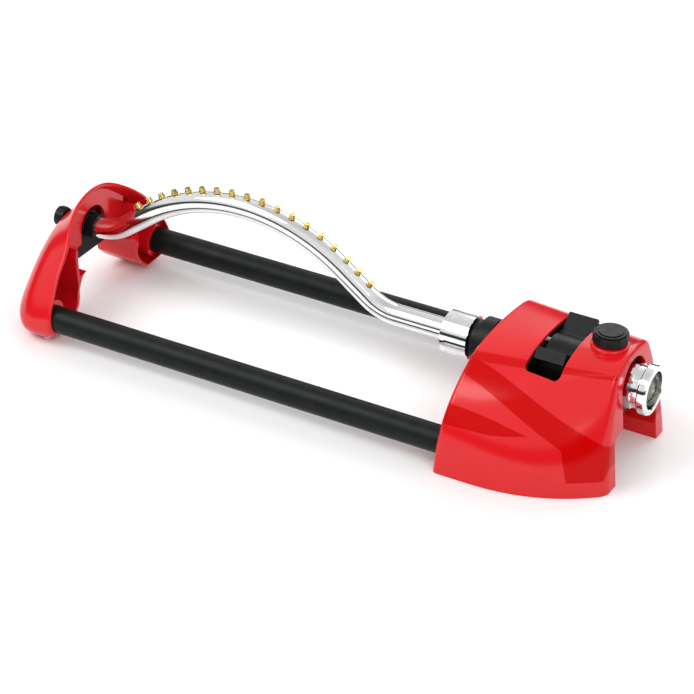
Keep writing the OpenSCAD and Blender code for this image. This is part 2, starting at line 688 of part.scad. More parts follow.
module first_gear() color(white_plastic) seat() difference() {
    union() {
        toothed(pinion_teeth, first_phase, out_gear_x, wheel_a_x + eps, 0, first_z);
        toothed(wheel_teeth, 0, wheel_a_x, wheel_a_x + wheel_t, 0, first_z);
    }
    rod(axle_r + run_fit, case_x, plate_x, 0, first_z);
}
module second_gear() color("#d9b44a") seat() difference() {
    union() {
        toothed(pinion_teeth, second_phase, wheel_a_x, wheel_b_x + eps, second_y, second_z);
        toothed(wheel_teeth, 0, wheel_b_x, wheel_b_x + wheel_t, second_y, second_z);
    }
    rod(axle_r + run_fit, case_x, plate_x + 5, second_y, second_z);
}
module turbine() color("#3f7fb8") seat() difference() {
    union() {
        toothed(pinion_teeth, turbine_phase, wheel_b_x, turbine_x + eps, 0, turbine_z);
        rod(4.5, turbine_x, turbine_x + turbine_w, 0, turbine_z);
        rod(turbine_r - 2, turbine_x + turbine_w / 2 - 0.6, turbine_x + turbine_w / 2 + 0.6, 0, turbine_z);
        for (k = [0:vane_count - 1]) translate([0, 0, turbine_z]) rotate([k * 360 / vane_count, 0, 0])
            box([turbine_x, 3.8, -0.6], [turbine_x + turbine_w, turbine_r, 0.6]);
    }
    rod(axle_r + run_fit, wheel_b_x - 1, turbine_x + turbine_w + 1, 0, turbine_z);
}
module gear_axles() color(steel) seat() {
    rod(axle_r, lid_x + 1.5, plate_x + plate_t, 0, first_z);
    rod(axle_r, lid_x + 1.5, plate_x + plate_t, second_y, second_z);
    rod(axle_r, wheel_b_x, case_end_x - 1.5, 0, turbine_z);
}

// Jet plate at the back of the turbine, and the flap that picks a jet
module jet_plate() color(white_plastic) seat() difference() {
    slab(jet_x, jet_x + jet_t) case_outline(case_wall + 0.7);
    rod(axle_r + slip_fit, jet_x - 1, jet_x + jet_t + 1, 0, turbine_z);
    rod(flap_r + run_fit, jet_x - 1, jet_x + jet_t + 1, 0, flap_z);
    for (s = [-1, 1]) rod(1.8, jet_x - 1, jet_x + jet_t + 1, s * 9, turbine_z + 9);
}
flap_r = 1.5;
flap_z = turbine_z + turbine_r + 7.5;
module jet_flap() color("#3f7fb8") seat() {
    rod(flap_r, plate_x - 0.6, jet_x + jet_t + 0.6, 0, flap_z);
    box([turbine_x, -0.8, flap_z - 5.5], [turbine_x + turbine_w, 0.8, flap_z]);
}

// ---- range band and tabs ----
module range_band() color(soft_black) seat() {
    x0 = slot_mid - band_w / 2;
    x1 = slot_mid + band_w / 2;
    difference() {
        union() {
            rod(band_r, x0, x1, 0, axis_z);
            box([x0, -band_r, case_top_z], [x1, band_r, axis_z]);
        }
        rod(band_r - 2, x0 - 1, x1 + 1, 0, axis_z);
        box([x0 - 1, -band_r + 2, case_top_z - 1], [x1 + 1, band_r - 2, axis_z]);
        box([x0 - 1, -band_r - 1, axis_z - band_r - 1], [x1 + 1, band_r + 1, case_top_z]);
    }
}

// Part ring between two angles, measured from straight up towards the front (-Y)
module part_ring(ro, ri, a0, a1, x0, x1) translate([0, 0, axis_z]) intersection() {
    ring(ro, ri, x0, x1);
    slab(x0 - 1, x1 + 1) polygon(concat([[0, 0]], [for (i = [0:4])
        polar(ro * 1.3, 90 + a0 + (a1 - a0) * i / 4)]));
}
module range_tab(side, h, t) {
    x0 = slot_mid - band_w / 2;
    x1 = slot_mid + band_w / 2;
    a = side * tab_angle;
    part_ring(band_r + 2.2, band_r + 0.3, a - 11, a + 11, x0 - 1.7, x1);
    // short leg beside the band, which the trip arm works against
    part_ring(band_r + 2.2, finger_r1 + 0.5, a - 5, a + 5, x0 - 1.7, x0 - 0.3);
    translate([0, 0, axis_z]) rotate([a, 0, 0])
        box([x0 - 1, -t / 2, band_r + 1.5], [x1, t / 2, band_r + h]);
}
module range_tab_front() color(soft_black) seat() range_tab(1, 12, 8);
module range_tab_rear() color(soft_black) seat() range_tab(-1, tab_h, 3.5);

// ---- inlet and valve ----
plug_z0 = axis_z - 8;
plug_z1 = axis_z + 9;
valve_top_z = axis_z + 17;
module inlet_body() color(soft_black) seat() difference() {
    union() {
        rod(case_top_r - 0.5, case_end_x, case_end_x + 3, 0, axis_z);
        rod(pipe_r, case_end_x + 2, collar_x + collar_t, 0, axis_z);
        rod(hose_r - 0.4, collar_x, collar_x + collar_t, 0, axis_z);
        translate([knob_x, 0, plug_z0 - 2.5]) cylinder(r = 9, h = valve_top_z - plug_z0 + 2.5);
    }
    rod(pipe_bore_r, case_end_x - 1, collar_x + collar_t + 1, 0, axis_z);
    rod(8, knob_x + 12, collar_x + collar_t + 1, 0, axis_z);
    translate([knob_x, 0, plug_z0]) cylinder(r = plug_r + run_fit, h = plug_z1 - plug_z0 + 0.3);
    translate([knob_x, 0, plug_z1]) cylinder(r = spindle_r + run_fit, h = 20);
    translate([knob_x, 0, valve_top_z - 2.5]) cylinder(r = spindle_r + 1.6, h = 5);
}
module valve_spindle() color(white_plastic) seat() translate([knob_x, 0, 0]) difference() {
    union() {
        translate([0, 0, plug_z0 + 0.2]) cylinder(r = plug_r, h = plug_z1 - plug_z0 - 0.2);
        translate([0, 0, plug_z1 - 1]) cylinder(r = spindle_r, h = knob_seat_z + knob_h - 3 - plug_z1);
    }
    translate([-20, 0, axis_z]) rotate([0, 90, 0]) cylinder(r = pipe_bore_r, h = 40);
}
module spindle_oring() color(rubber) seat() translate([knob_x, 0, valve_top_z - 2.5]) difference() {
    cylinder(r = spindle_r + 1.5, h = 2.2);
    translate([0, 0, -1]) cylinder(r = spindle_r + 0.02, h = 5);
}
knob_z = knob_seat_z + 0.5;
module flow_knob() color(soft_black) seat() translate([knob_x, 0, knob_z]) difference() {
    union() {
        cylinder(r = knob_r - 1, h = knob_h - 1);
        translate([0, 0, 1]) cylinder(r = knob_r, h = knob_h - 3);
        for (k = [0:11]) rotate(k * 30) translate([knob_r - 1.5, -1.8, 1]) cube([1.8, 3.6, knob_h - 3]);
    }
    translate([0, 0, -1]) cylinder(r = spindle_r, h = knob_h - 2.5);
    translate([0, 0, knob_h - 1.8]) cylinder(r = knob_r - 3, h = 2);
}
module knob_cap() color(soft_black) seat() translate([knob_x, 0, knob_z + knob_h - 1.8])
    cylinder(r = knob_r - 3.1, h = 1.4);

module inlet_flange() color(rubber) seat() difference() {
    union() {
        rod(flange_r, flange_x, flange_x + 3, 0, axis_z);
        box([flange_x, -flange_r, leg_gap_h], [flange_x + 3, flange_r, axis_z]);
    }
    rod(pipe_r, flange_x - 1, flange_x + 4, 0, axis_z);
}

module hose_coupling() color(chrome) seat() difference() {
    union() {
        rod(coupling_back_r, coupling_x, coupling_x + 9, 0, axis_z);
        rod(coupling_r, coupling_x + 8, coupling_x1, 0, axis_z);
    }
    rod(pipe_r + run_fit, coupling_x - 1, coupling_x + lip_t + 1, 0, axis_z);
    rod(hose_r + 0.5, coupling_x + lip_t, thread_x0, 0, axis_z);
    rod(hose_r, thread_x0 - eps, coupling_x1 + 1, 0, axis_z);
    for (a = [0:45:315]) translate([0, 0, axis_z]) rotate([a, 0, 0])
        translate([coupling_x - 1, coupling_back_r - 1, -9]) cube([8.5, 5, 18]);
}
module hose_washer() color(rubber) seat()
    ring(hose_r - 0.1, 8.5, collar_x + collar_t, filter_x, 0, axis_z);
module inlet_filter() color(steel) seat() translate([filter_x, 0, axis_z])
    rotate([0, 90, 0]) difference() {
        union() {
            cylinder(r = hose_r - 0.6, h = 0.8);
            cylinder(r1 = 10.4, r2 = 1.4, h = filter_h);
        }
        translate([0, 0, -1]) cylinder(r = 8.8, h = 1.2);
        translate([0, 0, 0.19]) cylinder(r1 = 8.8, r2 = 0.6, h = filter_h - 0.9);
    }

left_foot();
pivot_bracket();
pivot_bush();
cleanout_plug();
cleaning_pin();
front_tube();
rear_tube();
tube_screws();
spray_bar();
nozzles();
bar_end_cap();
coupling_nut();
bar_washer();
output_shaft();
output_gear();
trip_arm();
shaft_oring();
snout();
motor_cover();
base_plate();
base_screws();
motor_case();
case_lid();
case_gasket();
case_screws();
gear_plate();
first_gear();
second_gear();
turbine();
gear_axles();
jet_plate();
jet_flap();
range_band();
range_tab_front();
range_tab_rear();
inlet_body();
valve_spindle();
spindle_oring();
flow_knob();
knob_cap();
inlet_flange();
hose_coupling();
hose_washer();
inlet_filter();
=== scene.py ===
"""The look of an oscillating lawn sprinkler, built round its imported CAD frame.

Metres, +Z up, +X along the bar axis towards the hose inlet.  Every place is worked out
from the boxes of the CAD nodes, and sizes of details are given in millimetres times MM.
"""

import json
import math

import bmesh
import bpy
import numpy as np
from mathutils import Matrix, Vector
from mathutils.bvhtree import BVHTree


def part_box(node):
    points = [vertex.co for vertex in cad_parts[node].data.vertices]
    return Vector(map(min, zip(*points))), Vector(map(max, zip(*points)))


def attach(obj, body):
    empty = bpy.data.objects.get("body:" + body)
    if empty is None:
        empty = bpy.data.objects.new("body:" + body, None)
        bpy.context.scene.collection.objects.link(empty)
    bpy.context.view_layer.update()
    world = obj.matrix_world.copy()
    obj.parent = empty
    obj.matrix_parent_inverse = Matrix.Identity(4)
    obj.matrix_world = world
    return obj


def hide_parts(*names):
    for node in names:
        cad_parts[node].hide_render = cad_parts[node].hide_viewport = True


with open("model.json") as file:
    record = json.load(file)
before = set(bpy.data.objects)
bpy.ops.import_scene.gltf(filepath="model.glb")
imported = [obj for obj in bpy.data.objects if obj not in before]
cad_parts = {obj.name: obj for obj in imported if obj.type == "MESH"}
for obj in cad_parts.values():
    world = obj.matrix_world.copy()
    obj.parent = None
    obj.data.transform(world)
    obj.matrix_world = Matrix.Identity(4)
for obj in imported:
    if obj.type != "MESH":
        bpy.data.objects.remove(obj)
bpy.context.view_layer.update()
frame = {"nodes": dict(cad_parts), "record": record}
nodes = frame["nodes"]

MM = 0.001


def corners(node):
    """Lowest and highest corner of a CAD node, as vectors."""
    low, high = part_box(node)
    return Vector(low), Vector(high)


def middle(node):
    """Middle of a CAD node's box."""
    low, high = corners(node)
    return (low + high) / 2


AXIS_Z = middle("output_shaft").z
TUBE = {side: middle(node) for side, node in ((-1, "front_tube"), (1, "rear_tube"))}
TUBE_R = (corners("front_tube")[1].z - corners("front_tube")[0].z) / 2


# ---------------------------------------------------------------- camera and light

def add_camera():
    """Long lens from the front, above and a little past the inlet, as in a catalogue picture."""
    azimuth, elevation, roll = math.radians(28.41), math.radians(30.92), math.radians(1.34)
    distance = 1.887
    aim = Vector((-0.0085, 0.0250, 0.0039))
    forward = Vector((-math.sin(azimuth) * math.cos(elevation),
                      math.cos(azimuth) * math.cos(elevation), -math.sin(elevation)))
    level = Vector((math.cos(azimuth), math.sin(azimuth), 0))
    upright = level.cross(forward)
    right = level * math.cos(roll) + upright * math.sin(roll)
    up = upright * math.cos(roll) - level * math.sin(roll)
    data = bpy.data.cameras.new("camera")
    data.sensor_width = 36.0
    data.lens = 139.6
    camera = bpy.data.objects.new("camera", data)
    camera.matrix_world = (Matrix.Translation(aim - forward * distance)
                           @ Matrix((right, up, -forward)).transposed().to_4x4())
    bpy.context.scene.collection.objects.link(camera)
    bpy.context.scene.camera = camera


def add_softbox(name, place, target, width, height, power):
    data = bpy.data.lights.new(name, "AREA")
    data.shape = "RECTANGLE"
    data.size, data.size_y = width, height
    data.energy = power
    light = bpy.data.objects.new(name, data)
    light.location = place
    light.rotation_euler = (Vector(target) - Vector(place)).to_track_quat("-Z", "Y").to_euler()
    bpy.context.scene.collection.objects.link(light)


def add_world():
    """White studio tent with a dark gap at the horizon, which streaks the bright metal."""
    world = bpy.data.worlds.new("studio")
    bpy.context.scene.world = world
    world.use_nodes = True
    tree = world.node_tree
    tree.nodes.clear()
    place = tree.nodes.new("ShaderNodeTexCoord")
    split = tree.nodes.new("ShaderNodeSeparateXYZ")
    ramp = tree.nodes.new("ShaderNodeValToRGB")
    shift = tree.nodes.new("ShaderNodeMapRange")
    shift.inputs["From Min"].default_value = -1
    background = tree.nodes.new("ShaderNodeBackground")
    out = tree.nodes.new("ShaderNodeOutputWorld")
    stops = ((0.0, 0.80), (0.485, 0.80), (0.50, 0.04), (0.60, 0.06), (0.64, 1.0), (0.90, 1.0),
             (1.0, 0.75))
    while len(ramp.color_ramp.elements) < len(stops):
        ramp.color_ramp.elements.new(0.5)
    for element, (at, grey) in zip(ramp.color_ramp.elements, stops):
        element.position = at
        element.color = (grey, grey, grey, 1)
    background.inputs["Strength"].default_value = 0.85
    link = tree.links.new
    link(place.outputs["Generated"], split.inputs[0])
    link(split.outputs["Z"], shift.inputs["Value"])
    link(shift.outputs["Result"], ramp.inputs["Fac"])
    link(ramp.outputs["Color"], background.inputs["Color"])
    link(background.outputs["Background"], out.inputs["Surface"])


def add_studio():
    add_world()
    add_softbox("key_light", (-0.9, -0.9, 1.5), (0, 0, 0.03), 1.3, 1.0, 17)
    add_softbox("fill_light", (1.2, -0.9, 0.9), (0.1, 0, 0.04), 0.8, 0.8, 7)
    add_softbox("back_light", (0.2, 1.4, 1.0), (0, 0, 0.05), 1.6, 0.7, 9)
    mesh = bpy.data.meshes.new("floor")
    half = 4.0
    mesh.from_pydata([(-half, -half, 0), (half, -half, 0), (half, half, 0), (-half, half, 0)], [],
                     [(0, 1, 2, 3)])
    floor = bpy.data.objects.new("floor", mesh)
    bpy.context.scene.collection.objects.link(floor)
    floor.location.z = -0.05 * MM
    mesh.materials.append(plain_material("floor", (0.93, 0.93, 0.93), 0.6))
    bpy.context.scene.view_settings.view_transform = "Standard"
    bpy.context.scene.view_settings.exposure = 0.0


# ---------------------------------------------------------------- materials

def plain_material(name, colour, roughness):
    """One even colour, for the studio floor alone."""
    material = bpy.data.materials.new(name)
    material.use_nodes = True
    shader = material.node_tree.nodes["Principled BSDF"]
    shader.inputs["Base Color"].default_value = (*colour, 1)
    shader.inputs["Roughness"].default_value = roughness
    return material


class Surface:
    """A Principled material whose colour, roughness and bump vary over object space."""

    def __init__(self, name, metallic=0.0, ior=1.5, coat=0.0, coat_roughness=0.05):
        self.material = bpy.data.materials.new(name)
        self.material.use_nodes = True
        self.tree = self.material.node_tree
        self.shader = self.tree.nodes["Principled BSDF"]
        self.shader.inputs["Metallic"].default_value = metallic
        self.shader.inputs["IOR"].default_value = ior
        self.shader.inputs["Coat Weight"].default_value = coat
        self.shader.inputs["Coat Roughness"].default_value = coat_roughness
        self.place = self.tree.nodes.new("ShaderNodeTexCoord").outputs["Object"]
        self.height = None

    def stretched(self, scale):
        """Object coordinates times a scale for each axis."""
        mapping = self.tree.nodes.new("ShaderNodeMapping")
        mapping.inputs["Scale"].default_value = scale
        self.tree.links.new(self.place, mapping.inputs["Vector"])
        return mapping.outputs["Vector"]

    def noise(self, size, detail=3.0, stretch=(1, 1, 1)):
        """Noise with grains about size metres across, longer where stretch is below 1."""
        texture = self.tree.nodes.new("ShaderNodeTexNoise")
        texture.inputs["Scale"].default_value = 1 / size
        texture.inputs["Detail"].default_value = detail
        self.tree.links.new(self.stretched(stretch), texture.inputs["Vector"])
        return texture.outputs["Fac"]

    def ranged(self, value, low, high, start=0.3, end=0.7):
        """The value from start to end, spread over low to high and held beyond them."""
        node = self.tree.nodes.new("ShaderNodeMapRange")
        self.tree.links.new(value, node.inputs["Value"])
        for key, number in (("From Min", start), ("From Max", end), ("To Min", low), ("To Max", high)):
            node.inputs[key].default_value = number
        return node.outputs["Result"]

    def math(self, operation, *values):
        """A math node over numbers and sockets."""
        node = self.tree.nodes.new("ShaderNodeMath")
        node.operation = operation
        for socket, value in zip(node.inputs, values):
            if isinstance(value, (int, float)):
                socket.default_value = value
            else:
                self.tree.links.new(value, socket)
        return node.outputs[0]

    def colour(self, first, second, mask):
        """Base colour from first to second as mask goes from 0 to 1."""
        mix = self.tree.nodes.new("ShaderNodeMix")
        mix.data_type = "RGBA"
        mix.inputs["A"].default_value = (*first, 1)
        mix.inputs["B"].default_value = (*second, 1)
        self.tree.links.new(mask, mix.inputs["Factor"])
        self.tree.links.new(mix.outputs["Result"], self.shader.inputs["Base Color"])

    def roughness(self, value):
        """Takes the roughness from a socket."""
        self.tree.links.new(value, self.shader.inputs["Roughness"])

    def bump(self, value, depth):
        """Adds a bump depth metres high over the bumps given so far."""
        node = self.tree.nodes.new("ShaderNodeBump")
        node.inputs["Distance"].default_value = depth
        node.inputs["Strength"].default_value = 1.0
        self.tree.links.new(value, node.inputs["Height"])
        if self.height is not None:
            self.tree.links.new(self.height, node.inputs["Normal"])
        self.height = node.outputs["Normal"]
        self.tree.links.new(self.height, self.shader.inputs["Normal"])


def red_plastic(name="red_plastic", reflection_bands=None):
    """Glossy moulded plastic: faint flow marks, orange peel and hairline scuffs.  The optional mask
    function gives bands painted darker red: painted reflections of dark parts of the room, which
    are also a little less glossy."""
    s = Surface(name)
    # The second colour is the deeper red of the random mottle and also of the painted reflections.
    light, deep_tone_and_reflection = (0.66, 0.008, 0.013), (0.52, 0.0006, 0.0006)
    mottle = s.ranged(s.noise(28 * MM, 2), 0, 0.12)
    # The mask is the random mottle plus the bands of painted reflection.
    mask = s.math("MAXIMUM", mottle, reflection_bands(s)) if reflection_bands else mottle
    s.colour(light, deep_tone_and_reflection, mask)
    scuffs = s.ranged(s.noise(0.7 * MM, 4, (0.06, 1, 1)), 0.12, 0.20, 0.35, 0.75)
    s.roughness(scuffs)
    gloss = s.ranged(mask, 0.42, 0.12, 0.0, 1.0)
    s.tree.links.new(gloss, s.shader.inputs["Specular IOR Level"])
    s.bump(s.noise(3.0 * MM, 1), 0.012 * MM)
    s.bump(s.noise(0.35 * MM, 2), 0.002 * MM)
    return s.material


def housing_painted_reflections(s):
    """Mask of painted reflections: the dark swoosh, the pointed lobe beside it and the band under the
    crease, on both sides, where the gloss would mirror dark parts of the room.  Their edges are
    curves z(x) in millimetres, x from the leaning front edge of the cover."""
    low = corners("motor_cover")[0]
    split = s.tree.nodes.new("ShaderNodeSeparateXYZ")
    s.tree.links.new(s.place, split.inputs[0])
    z = s.math("MULTIPLY", split.outputs["Z"], 1 / MM)
    lean = s.math("MULTIPLY_ADD", z, 0.09, -6.0)
    x = s.math("ADD", s.math("MULTIPLY_ADD", split.outputs["X"], 1 / MM, -low.x / MM), lean)

    def curve(start, slope, bend, after=0.0, steeper=0.0):
        """start + slope x + bend x^2, and past x = after also steeper times the way past it."""
        bow = s.math("MULTIPLY_ADD", x, bend, slope)
        line = s.math("MULTIPLY_ADD", bow, x, start)
        past = s.math("MAXIMUM", s.math("SUBTRACT", x, after), 0.0)
        return s.math("MULTIPLY_ADD", past, steeper, line)

    def within(value):
        """0 below zero and 1 above it, soft over half a millimetre."""
        return s.ranged(value, 0, 1, -0.25, 0.25)

    def between(bottom, top):
        under = within(s.math("SUBTRACT", top, z))
        over = within(s.math("SUBTRACT", z, bottom))
        return s.math("MULTIPLY", under, over)

    # Painted reflection: the dark diagonal swoosh band.
    swoosh_reflection = between(s.math("MAXIMUM", curve(64, -0.14, -0.0033, 79, -4.0), 11.0),
                     curve(71, -0.06, -0.0029))
    edge = s.math("MULTIPLY_ADD", z, 0.28, 100.0)
    swoosh_reflection = s.math("MULTIPLY", swoosh_reflection, within(s.math("SUBTRACT", edge, x)))
    # Painted reflection: the pointed lobe beside the swoosh.
    lobe_reflection = between(curve(36.3, 0, 0, 35, 0.12), curve(48, 0, -0.0026))
    # Painted reflection: the dark band under the crease, on the sloped sides only.
    crease_reflection = between(curve(68.5, 0.058, 0), curve(72.0, 0.052, 0))
    steep = s.ranged(s.math("ABSOLUTE", split.outputs["Y"]), 0, 1, 24 * MM, 26 * MM)
    crease_reflection = s.math("MULTIPLY", crease_reflection, s.math("MULTIPLY", steep, 0.8))
    return s.math("MAXIMUM", s.math("MAXIMUM", swoosh_reflection, lobe_reflection), crease_reflection)


def tube_paint():
    """Satin black paint on drawn tube, with fine draw lines and a little dust."""
    s = Surface("tube_paint")
    s.colour((0.003, 0.005, 0.0045), (0.007, 0.010, 0.009), s.ranged(s.noise(9 * MM, 5), 0, 1))
    s.roughness(s.ranged(s.noise(0.5 * MM, 3, (0.03, 1, 1)), 0.36, 0.50))
    s.shader.inputs["Specular IOR Level"].default_value = 0.18
    s.bump(s.noise(0.22 * MM, 2), 0.010 * MM)
    s.bump(s.noise(0.6 * MM, 2, (0.02, 1, 1)), 0.008 * MM)
    return s.material


def grained_plastic(name, first, second, low, high, grain=0.35, shine=0.5):
    """Moulded plastic with spark-eroded grain."""
    s = Surface(name)
    s.shader.inputs["Specular IOR Level"].default_value = shine
    s.colour(first, second, s.ranged(s.noise(6 * MM, 4), 0, 1))
    s.roughness(s.ranged(s.noise(1.5 * MM, 3), low, high))
    s.bump(s.noise(grain * MM, 3), 0.05 * grain * MM)
    return s.material


def metal(name, first, second, low, high, stretch=(1, 1, 1), grain=0.5, depth=0.004):
    """Metal with tool marks that are long where stretch is below 1."""
    s = Surface(name, metallic=1.0)
    s.colour(first, second, s.ranged(s.noise(5 * MM, 4, stretch), 0, 1))
    s.roughness(s.ranged(s.noise(grain * MM, 3, stretch), low, high))
    s.bump(s.noise(grain * MM, 3, stretch), depth * MM)
    s.bump(s.noise(6 * MM, 1), 4 * depth * MM)
    return s.material


def rubber():
    """Matt black rubber with a fine grain."""
    s = Surface("rubber")
    s.colour((0.010, 0.010, 0.011), (0.024, 0.024, 0.025), s.ranged(s.noise(3 * MM, 4), 0, 1))
    s.roughness(s.ranged(s.noise(0.8 * MM, 3), 0.55, 0.8))
    s.bump(s.noise(0.2 * MM, 2), 0.015 * MM)
    return s.material


MATERIALS = {
    "red_shell": red_plastic(),
    # The housing's red has painted reflections as darker red bands over its mottle.
    "red_housing": red_plastic("red_housing", housing_painted_reflections),
    "tube_black": tube_paint(),
    "black_plastic": grained_plastic("black_plastic", (0.003, 0.004, 0.004), (0.008, 0.009, 0.010),
                                     0.34, 0.50, shine=0.22),
    "bar_metal": metal("polished_bar", (0.78, 0.79, 0.80), (0.90, 0.90, 0.90), 0.07, 0.13,
                       (0.05, 1, 1)),
    "nozzle_brass": metal("nozzle_brass", (0.52, 0.36, 0.11), (0.74, 0.57, 0.24), 0.16, 0.30,
                          (1, 1, 0.3), 0.3),
    "chrome_trim": metal("chrome", (0.80, 0.81, 0.83), (0.92, 0.92, 0.93), 0.03, 0.08),
    "white_plastic": grained_plastic("white_plastic", (0.72, 0.70, 0.64), (0.83, 0.81, 0.76),
                                     0.35, 0.5),
    "gear_yellow": grained_plastic("gear_yellow", (0.58, 0.42, 0.12), (0.72, 0.55, 0.20), 0.3, 0.45),
    "blue_plastic": grained_plastic("blue_plastic", (0.06, 0.20, 0.42), (0.10, 0.28, 0.55), 0.3, 0.45),
    "steel": metal("steel", (0.48, 0.49, 0.51), (0.62, 0.63, 0.65), 0.22, 0.38, (1, 1, 0.2)),
    "rubber": rubber(),
    "filter_mesh": metal("filter_mesh", (0.20, 0.21, 0.16), (0.42, 0.43, 0.36), 0.35, 0.5),
}


def paint_cad_nodes():
    """Gives each carried-over CAD node the material of its slot in the record."""
    for part in frame["record"]["subparts"]:
        obj = nodes[part["node"]]
        obj.data.materials.clear()
        obj.data.materials.append(MATERIALS[part["material_slot"]])


# ---------------------------------------------------------------- mesh helpers

def make_object(name, verts, faces):
    """Mesh object with its face normals turned outwards."""
    mesh = bpy.data.meshes.new(name)
    mesh.from_pydata([tuple(v) for v in verts], [], faces)
    shape = bmesh.new()
    shape.from_mesh(mesh)
    bmesh.ops.recalc_face_normals(shape, faces=shape.faces)
    shape.to_mesh(mesh)
    shape.free()
    obj = bpy.data.objects.new(name, mesh)
    bpy.context.scene.collection.objects.link(obj)
    return obj


def lofted(name, loops, fan=False):
    """Closed solid through loops of equal length, with one face over each end.  A first end that
    isn't flat is closed by a fan round the middle of its loop."""
    count = len(loops[0])
    verts = [p for loop in loops for p in loop]
    faces = [(i * count + j, i * count + (j + 1) % count,
              (i + 1) * count + (j + 1) % count, (i + 1) * count + j)
             for i in range(len(loops) - 1) for j in range(count)]
    faces.append(tuple(range(len(verts) - count, len(verts))))
    if fan:
        verts.append(sum(loops[0], Vector()) / count)
        faces += [(j, (j + 1) % count, len(verts) - 1) for j in range(count)]
    else:
        faces.append(tuple(range(count)))
    return make_object(name, verts, faces)


def prism(name, outline, start, end, axis=0):
    """Outline of (u, v) pairs, pushed along one axis from start to end."""
    def at(u, v, w):
        point = [u, v]
        point.insert(axis, w)
        return point
    return lofted(name, [[at(u, v, w) for u, v in outline] for w in (start, end)])


def circle(radius, centre=(0, 0), sides=96):
    return [(centre[0] + radius * math.cos(2 * math.pi * k / sides),
             centre[1] + radius * math.sin(2 * math.pi * k / sides)) for k in range(sides)]


def rounded_rectangle(low, high, radius, steps=8):
    """Outline with round corners between two opposite corners."""
    (u0, v0), (u1, v1) = low, high
    centres = ((u1 - radius, v1 - radius, 0), (u0 + radius, v1 - radius, 90),
               (u0 + radius, v0 + radius, 180), (u1 - radius, v0 + radius, 270))
    return [(u + radius * math.cos(math.radians(a + 90 * k / steps)),
             v + radius * math.sin(math.radians(a + 90 * k / steps)))
            for u, v, a in centres for k in range(steps + 1)]


def rectangle(half, bottom, top):
    """Outline of a rectangle from -half to half across."""
    return [(-half, bottom), (half, bottom), (half, top), (-half, top)]


def boolean(obj, other, operation="DIFFERENCE"):
    """Applies the other object to obj and removes it."""
    modifier = obj.modifiers.new("cut", "BOOLEAN")
    modifier.operation = operation
    modifier.solver = "EXACT"
    modifier.object = other
    bpy.context.view_layer.update()
    result = bpy.data.meshes.new_from_object(obj.evaluated_get(bpy.context.evaluated_depsgraph_get()))
    obj.modifiers.clear()
    obj.data = result
    bpy.data.objects.remove(other)
    return obj


def tidy(obj):
    """Welds doubles and drops faces and edges of no size."""
    no_size = 0.002 * MM
    shape = bmesh.new()
    shape.from_mesh(obj.data)
    bmesh.ops.remove_doubles(shape, verts=shape.verts, dist=no_size)
    bmesh.ops.dissolve_degenerate(shape, edges=shape.edges, dist=no_size)
    shape.to_mesh(obj.data)
    shape.free()


def shade(obj, surfaces=(), sharp=math.radians(32)):
    """Smooth shading with sharp edges.  Faces that lie on one of the uncut surfaces take that
    surface's own normals, so that a cut leaves no mark in the shading round it."""
    reach, same_way, same_side = 0.05 * MM, 0.94, 0.8
    shape = bmesh.new()
    shape.from_mesh(obj.data)
    for face in shape.faces:
        face.smooth = True
    for edge in shape.edges:
        edge.smooth = edge.is_manifold and edge.calc_face_angle(math.pi) < sharp
    shape.to_mesh(obj.data)
    shape.free()
    mesh = obj.data
    normals = [(0.0, 0.0, 0.0)] * len(mesh.loops)
    for tree, triangles, vertex_normals, points in surfaces:
        for polygon in mesh.polygons:
            _, normal, _, gap = tree.find_nearest(polygon.center)
            if gap is None or gap > reach or abs(normal.dot(polygon.normal)) < same_way:
                continue
            sign = 1.0 if normal.dot(polygon.normal) > 0 else -1.0
            for loop in polygon.loop_indices:
                spot = mesh.vertices[mesh.loops[loop].vertex_index].co
                near, _, triangle, _ = tree.find_nearest(spot)
                weights = barycentric(near, [points[k] for k in triangles[triangle]])
                blended = sum((vertex_normals[k] * w for k, w in zip(triangles[triangle], weights)),
                              Vector())
                if blended.length > 0 and blended.normalized().dot(normal) > same_side:
                    normals[loop] = tuple(blended.normalized() * sign)
    if surfaces:
        mesh.normals_split_custom_set(normals)


def barycentric(point, triangle):
    """Weights of a triangle's three corners at a point in it."""
    a, b, c = triangle
    v0, v1, v2 = b - a, c - a, point - a
    d00, d01, d11 = v0.dot(v0), v0.dot(v1), v1.dot(v1)
    d20, d21 = v2.dot(v0), v2.dot(v1)
    scale = d00 * d11 - d01 * d01
    if abs(scale) < 1e-24:
        return 1.0, 0.0, 0.0
    v = (d11 * d20 - d01 * d21) / scale
    w = (d00 * d21 - d01 * d20) / scale
    return 1.0 - v - w, v, w


def surface_of(loops):
    """The skin through open or closed loops as a search tree with smooth vertex normals."""
    grid = np.array([[tuple(p) for p in loop] for loop in loops])
    rows, count = grid.shape[:2]
    along = np.gradient(grid, axis=0)
    across = np.roll(grid, -1, axis=1) - np.roll(grid, 1, axis=1)
    across[:, 0] = grid[:, 1] - grid[:, 0]
    across[:, -1] = grid[:, -1] - grid[:, -2]
    normal = np.cross(across, along).reshape(-1, 3)
    normal /= np.maximum(np.linalg.norm(normal, axis=1), 1e-12)[:, None]
    points = [Vector(p) for p in grid.reshape(-1, 3)]
    triangles = []
    for i in range(rows - 1):
        for j in range(count - 1):
            a, b = i * count + j, i * count + j + 1
            triangles += [(a, b, b + count), (a, b + count, a + count)]
    tree = BVHTree.FromPolygons(points, triangles)
    vertex_normals = [Vector(n) for n in normal]
    first = triangles[0]
    flat = (points[first[1]] - points[first[0]]).cross(points[first[2]] - points[first[0]])
    if flat.dot(vertex_normals[first[0]]) < 0:
        vertex_normals = [-n for n in vertex_normals]
    return tree, triangles, vertex_normals, points


def finish_piece(obj, body, slot, stands_for, material=None):
    """Puts a piece on its body in place of a CAD node."""
    obj.data.materials.clear()
    obj.data.materials.append(MATERIALS[material or slot])
    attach(obj, body)
    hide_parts(stands_for)


